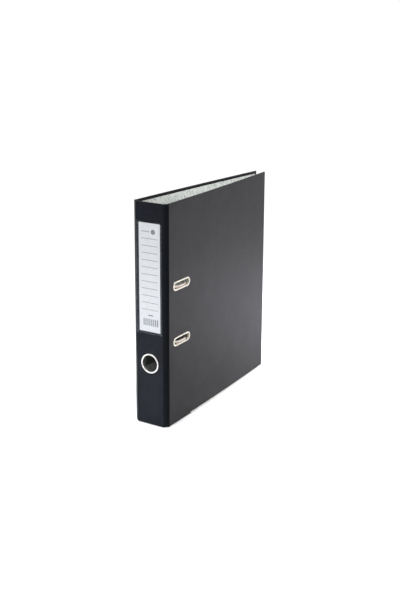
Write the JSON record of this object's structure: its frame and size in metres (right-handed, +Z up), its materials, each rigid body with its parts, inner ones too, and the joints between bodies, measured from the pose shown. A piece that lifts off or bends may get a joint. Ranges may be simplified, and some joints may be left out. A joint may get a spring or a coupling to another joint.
{
  "type": "lever arch file",
  "caption": "Upright A4 lever arch file with a finger ring, spine label pocket, slotted front cover, edge shoes and an arch mechanism that opens with its lever.",
  "frame": {"origin": "centre of the bounding box in plan, on the floor under the edge shoes", "axes": "+Z up along the spine; the spine faces -Y, the front cover is on the +X side and the back cover on the -X side"},
  "size_m": [0.0564, 0.2862, 0.319],
  "materials": {
    "greyboard": "raw",
    "cover_film": "fine grain",
    "cloud_paper": "mottled print",
    "zinc_strip": "satin",
    "nickel": "bright nickel",
    "mechanism_steel": "plated",
    "clear_film": "clear film",
    "label_card_white": "matte",
    "grip_plastic": "moulded"
  },
  "bodies": {
    "back_cover": {"back_board": "greyboard", "back_covering": "cover_film", "back_lining": "cloud_paper", "back_edge_shoe": "zinc_strip", "base_plate": "mechanism_steel", "rivet_lower_fold": "nickel", "rivet_lower_edge": "nickel", "rivet_upper_fold": "nickel", "rivet_upper_edge": "nickel", "post_upper": "nickel", "post_lower": "nickel", "shaft_saddle_upper": "mechanism_steel", "shaft_saddle_lower": "mechanism_steel", "lever_bracket": "mechanism_steel", "lever_pin": "mechanism_steel", "leaf_spring": "mechanism_steel", "spring_rivet": "nickel"},
    "spine": {"spine_board": "greyboard", "spine_covering": "cover_film", "spine_lining": "cloud_paper", "finger_ring": "nickel", "finger_ring_washer": "nickel", "label_pocket": "clear_film", "back_hinge_film": "cover_film", "front_hinge_film": "cover_film"},
    "label": {"label_card": "label_card_white"},
    "front_cover": {"front_board": "greyboard", "front_covering": "cover_film", "front_lining": "cloud_paper", "front_edge_shoe": "zinc_strip", "slot_eyelet_upper": "nickel", "slot_eyelet_lower": "nickel", "slot_washer_upper": "nickel", "slot_washer_lower": "nickel"},
    "arches": {"arch_wire": "nickel", "arch_crank": "mechanism_steel"},
    "lever": {"lever_arm": "mechanism_steel", "lever_grip": "grip_plastic", "roller_pin": "mechanism_steel"},
    "roller": {"lever_roller": "grip_plastic"},
    "compressor": {"compressor_plate": "mechanism_steel", "catch_rivet_upper": "nickel", "catch_rivet_lower": "nickel"},
    "catch": {"compressor_catch": "nickel"}
  },
  "joints": [
    {"name": "spine_hinge", "type": "hinge", "parent": "back_cover", "child": "spine", "pos_m": [-0.02535, -0.13917, 0.16], "axis": [0, 0, -1], "range_deg": [0, 90], "deforming": ["back_hinge_film"]},
    {"name": "front_cover_hinge", "type": "hinge", "parent": "spine", "child": "front_cover", "pos_m": [0.02395, -0.13917, 0.16], "axis": [0, 0, -1], "range_deg": [0, 180], "deforming": ["front_hinge_film"]},
    {"name": "arch_swing", "type": "hinge", "parent": "back_cover", "child": "arches", "pos_m": [-0.0183, -0.11771, 0.1585], "axis": [0, 0, -1], "range_deg": [0, 27]},
    {"name": "lever_lift", "type": "hinge", "parent": "back_cover", "child": "lever", "pos_m": [-0.01237, -0.09764, 0.1885], "axis": [-0.1091, -0.994, 0], "range_deg": [0, 90]},
    {"name": "roller_spin", "type": "hinge", "parent": "lever", "child": "roller", "pos_m": [-0.01722, -0.10355, 0.18433], "axis": [0.1091, 0.994, 0], "continuous": true},
    {"name": "compressor_slide", "type": "slide", "parent": "back_cover", "child": "compressor", "axis": [0.994, -0.1091, 0], "range_m": [0, 0.018]},
    {"name": "catch_slide", "type": "slide", "parent": "compressor", "child": "catch", "axis": [0, 0, 1], "range_m": [0, 0.004], "stiffness_N_per_m": 120},
    {"name": "label_slide", "type": "slide", "parent": "spine", "child": "label", "axis": [0, 0, 1], "range_m": [0, 0.165]}
  ],
  "couplings": [
    {"joint": "arch_swing", "follows": "front_cover_hinge", "ratio": 0.15},
    {"joint": "lever_lift", "follows": "front_cover_hinge", "ratio": 0.5}
  ]
}
